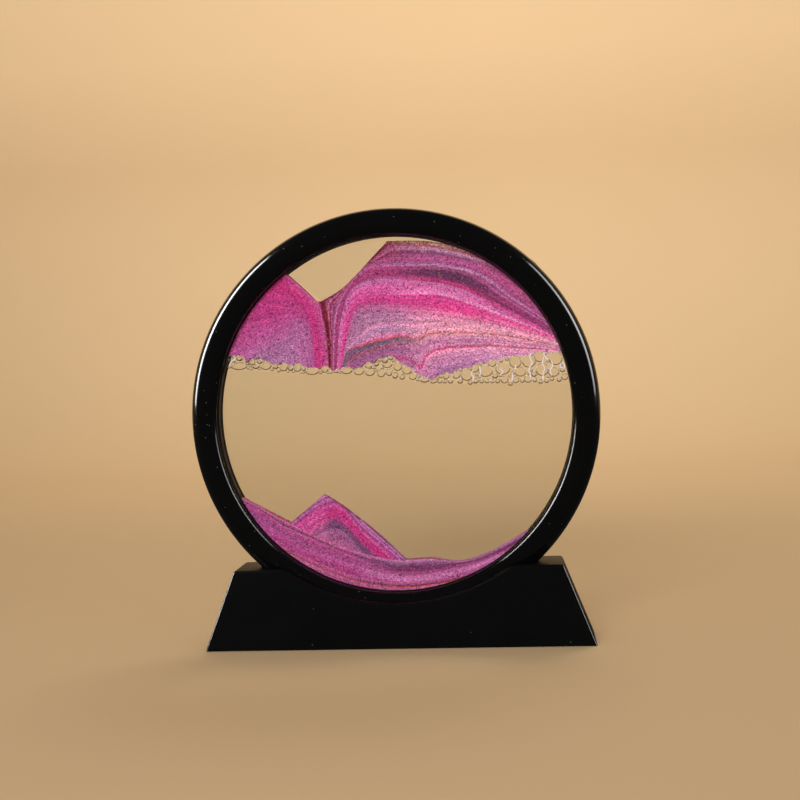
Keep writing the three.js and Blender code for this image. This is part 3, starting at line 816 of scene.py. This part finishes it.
def makeBase(material):
    b = baseSizes
    outline = [(-b["bottomHalf"], b["low"]), (-b["topHalf"], b["high"])] + saddleOutline()
    outline += [(b["topHalf"], b["high"]), (b["bottomHalf"], b["low"])]
    bm = bmesh.new()
    corners = [bm.verts.new((x * mm, -depthAt(z) * mm, z * mm)) for x, z in outline]
    front = bm.faces.new(corners)
    pushed = bmesh.ops.extrude_face_region(bm, geom=[front], use_keep_orig=True)
    for vert in movedVerts(pushed):
        vert.co.y = -vert.co.y
    bmesh.ops.recalc_face_normals(bm, faces=bm.faces)
    rounded = [e for e in bm.edges if e.calc_face_angle(0) > math.radians(25)
               and max(v.co.z for v in e.verts) > (b["low"] + 1) * mm]
    bmesh.ops.bevel(bm, geom=rounded, offset=b["edge"] * mm, offset_type="OFFSET", affect="EDGES", segments=5,
                    profile=0.5, material=-1, clamp_overlap=True)
    shell = meshed(bm, "baseShell", material)

    g, r = b["groove"], frameSizes["outerRound"] + b["play"]
    ring = frameSizes["outer"] - frameSizes["outerRound"]
    groove = [(60, -g)] + arc(ring, r - g, r, -90, 0, 10) + arc(ring, g - r, r, 0, 90, 10) + [(60, g)]
    cut(shell, spunRing(groove, 288))

    hollow = bmesh.new()
    bmesh.ops.create_cube(hollow, size=2)
    top = b["high"] - b["wall"]
    for vert in hollow.verts:
        z = top if vert.co.z > 0 else b["low"] - 1
        share = (z - b["low"]) / (b["high"] - b["low"])
        half = b["bottomHalf"] + (b["topHalf"] - b["bottomHalf"]) * share - b["wall"]
        deep = depthAt(z) - b["wall"]
        vert.co = Vector((math.copysign(half, vert.co.x), math.copysign(deep, vert.co.y), z)) * mm
    inside = meshed(hollow, "inside")
    lying = facing @ Matrix.Rotation(math.pi / 2, 4, "X")
    cut(inside, cylinder(b["grooveFloor"], -20, 20, lying, 288))
    posts = [Matrix.Translation((x * mm, 0, 0)) for x in (-b["screwX"], b["screwX"])]
    for post in posts:
        cut(inside, cylinder(b["post"], b["postLow"], b["postHigh"], post))
    cutWith(shell, inside)
    for post in posts:
        cut(shell, cylinder(b["hole"], -1, b["holeHigh"], post, 24))
    placed(shell, "base", "base_shell", sharpAngle=28)


# radius and height above the floor
footOutline = [(0, 0.12), (3.1, 0.12), (3.3, 0), (4.2, 0), (4.42, 0.08), (4.5, 0.3), (4.5, 1.05), (4.35, 1.2),
               (0, 1.2)]


def middleOf(node):
    low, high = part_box(node)
    return (low.x + high.x) / 2, (low.y + high.y) / 2, low.z


def makeFeet(material):
    for side in ("front", "rear"):
        for end in ("left", "right"):
            bm = spunUpright(footOutline)
            x, y, _ = middleOf(f"foot_{side}_{end}")
            bmesh.ops.translate(bm, vec=(x, y, 0), verts=bm.verts)
            foot = meshed(bm, f"foot{side.title()}{end.title()}", material)
            placed(foot, "base", f"foot_{side}_{end}")


screwSizes = dict(head=2.8, headHeight=1.4, shank=1.4, root=1.05, length=9, pitch=0.9, point=1.6, slotWide=0.62,
                  slotLong=3.2, slotDeep=1.8)


def screwOutline():
    s = screwSizes
    head, root, pitch = s["head"], s["root"], s["pitch"]
    line = [(0, 0), (head - 0.9, 0.02), (head - 0.3, 0.3), (head, 0.9), (head, s["headHeight"]),
            (root, s["headHeight"] + 0.01)]
    height = s["headHeight"] + 0.5
    while height < s["length"] - s["point"]:
        line += [(root, height), (s["shank"], height + pitch * 0.35), (root, height + pitch * 0.7)]
        height += pitch
    return line + [(root, height), (0.15, s["length"]), (0, s["length"])]


def makeScrews(material):
    s = screwSizes
    slot = Matrix.Diagonal((s["slotLong"] * mm, s["slotWide"] * mm, s["slotDeep"] * mm, 1))
    for end in ("left", "right"):
        screw = meshed(spunUpright(screwOutline(), 32), f"baseScrew{end.title()}", material)
        for turn in (0, math.pi / 2):
            blade = bmesh.new()
            bmesh.ops.create_cube(blade, size=1, matrix=Matrix.Rotation(turn, 4, "Z") @ slot)
            cut(screw, blade)
        screw.data.transform(Matrix.Translation(middleOf(f"base_screw_{end}")))
        placed(screw, "base", f"base_screw_{end}")


# a floor and a wall that rises from it in a curve, in metres
stageSizes = dict(front=-3.2, wall=1.25, corner=0.4, height=2.0, width=7.0)
paleTan = (250, 217, 169)


def makeStage():
    s = stageSizes
    finish = Finish("paleFloor")
    place = finish.place()
    paper = finish.noise(place, 6, 4.0)
    height = finish.parts(place)[2]
    # darker tan at the foot, paler from 0.55 m up: painted shade, the backdrop darkening towards the floor
    tan = finish.mixed(finish.ramped(height, 0.0, 0.55), linear(203, 173, 131), linear(*paleTan))
    tan = finish.mixed(paper * 0.06, tan, linear(150, 128, 98))
    material = finish.surface(Base_Color=tan, Roughness=0.8 + paper * 0.1, Specular_IOR_Level=0)
    start = s["wall"] - s["corner"]
    sweep = arc(start, s["corner"], s["corner"], -90, 0, 48) + [(s["wall"], s["height"])]
    for name, outline, inGloss in (("studioFloor", [(s["front"], 0), (start, 0)], False),
                                   ("studioWall", sweep, True)):
        bm = bmesh.new()
        corners = [bm.verts.new((-s["width"] / 2, y, z)) for y, z in outline]
        edges = [bm.edges.new(pair) for pair in zip(corners, corners[1:])]
        pushed = bmesh.ops.extrude_edge_only(bm, edges=edges)
        bmesh.ops.translate(bm, vec=(s["width"], 0, 0), verts=movedVerts(pushed))
        sheet = meshed(bm, name, material, sharpAngle=60)
        sheet.visible_glossy = inGloss


lights = [  # name, place, aimed at, size, watts, colour, lights only glossy surfaces, spread
    ("leftStrip", (-0.62, 0.0, 0.39), (0, 0, 0.1), (0.17, 0.58), 1.9, (1, 1, 1), True, 80),
    ("rightStrip", (0.62, 0.0, 0.39), (0, 0, 0.1), (0.17, 0.58), 0.75, (1, 1, 1), True, 80),
    ("frontFill", (-0.2, -1.25, 0.62), (0, 0, 0.1), (0.8, 0.5), 1.9, (0.97, 0.96, 1.0), False, 60),
    ("rearFill", (0.25, 0.9, 1.2), (0, 0.3, 0.1), (0.7, 0.5), 1.6, (0.95, 0.97, 1.0), False, 100),
    ("wallWash", (0.0, 0.45, 1.75), (0, 1.25, 0.72), (2.2, 0.4), 7.0, (1, 0.99, 0.99), False, 90)]


def makeLights():
    for name, place, target, size, watts, colour, onlyGloss, spread in lights:
        lamp = bpy.data.lights.new(name, "AREA")
        lamp.shape, lamp.size, lamp.size_y = "RECTANGLE", *size
        lamp.energy, lamp.color, lamp.spread = watts, colour, math.radians(spread)
        holder = bpy.data.objects.new(name, lamp)
        holder.location = place
        holder.rotation_euler = (Vector(target) - Vector(place)).to_track_quat("-Z", "Y").to_euler()
        holder.visible_glossy, holder.visible_diffuse = onlyGloss, not onlyGloss
        bpy.context.scene.collection.objects.link(holder)


roomColours = dict(soft=(0.40, 0.39, 0.385, 1), inGloss=(0.05, 0.048, 0.046, 1), beyondStage=0.5)


def makeRoom():
    world = bpy.data.worlds.new("softRoom")
    world.use_nodes = True
    room = Graph(world.node_tree)
    glossy = room.node("ShaderNodeLightPath", output="Is Glossy Ray")
    tint = room.mixed(glossy, roomColours["soft"], roomColours["inGloss"])
    tint = room.mixed(glossy.sibling("Is Camera Ray"), tint, linear(*paleTan, roomColours["beyondStage"]))
    room.give(room.tree.nodes["Background"].inputs["Color"], tint)
    bpy.context.scene.world = world


cameraView = dict(place=(0.0548, -0.5635, 0.1242), turn=5.275, down=1.875, roll=-2.028, lens=58.5)


def makeCamera():
    view = cameraView
    lens = bpy.data.cameras.new("camera")
    lens.lens, lens.sensor_width, lens.clip_start = view["lens"], 36, 0.01
    camera = bpy.data.objects.new("camera", lens)
    camera.matrix_world = (Matrix.Translation(view["place"]) @ Matrix.Rotation(math.radians(view["turn"]), 4, "Z")
                           @ Matrix.Rotation(math.radians(90 - view["down"]), 4, "X")
                           @ Matrix.Rotation(math.radians(view["roll"]), 4, "Z"))
    bpy.context.scene.collection.objects.link(camera)
    bpy.context.scene.camera = camera
    bpy.context.scene.view_settings.view_transform = "Standard"
    bpy.context.scene.cycles.transparent_max_bounces = 32


makeCamera()
makeLights()
makeRoom()
makeStage()
print("stage, lights and camera set")
black, inner, rubber = (mouldedFinish(name) for name in ("glossBlack", "innerBlack", "sealRubber"))
makeFrame(black)
makePlug(rubber)
makeCell(inner, rubber)
print("frame, plug and cell made")
makeBase(mouldedFinish("satinBlack"))
makeFeet(mouldedFinish("footRubber"))
makeScrews(steelFinish())
print("base made")
allBubbles = packedBubbles()
makeBubbles(allBubbles, bubbleClearWithPaintedRims())
makeFilms(filmPaintedHighlight())
makeSand(allBubbles)
pane, liquid = glassFinish(), liquidFinish()
for node, material in (("front_glass", pane), ("rear_glass", pane), ("upper_liquid", liquid),
                       ("lower_liquid", liquid), ("base_plate", inner)):
    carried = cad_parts[node]
    carried.data.materials.clear()
    carried.data.materials.append(material)
print("contents and glass made")
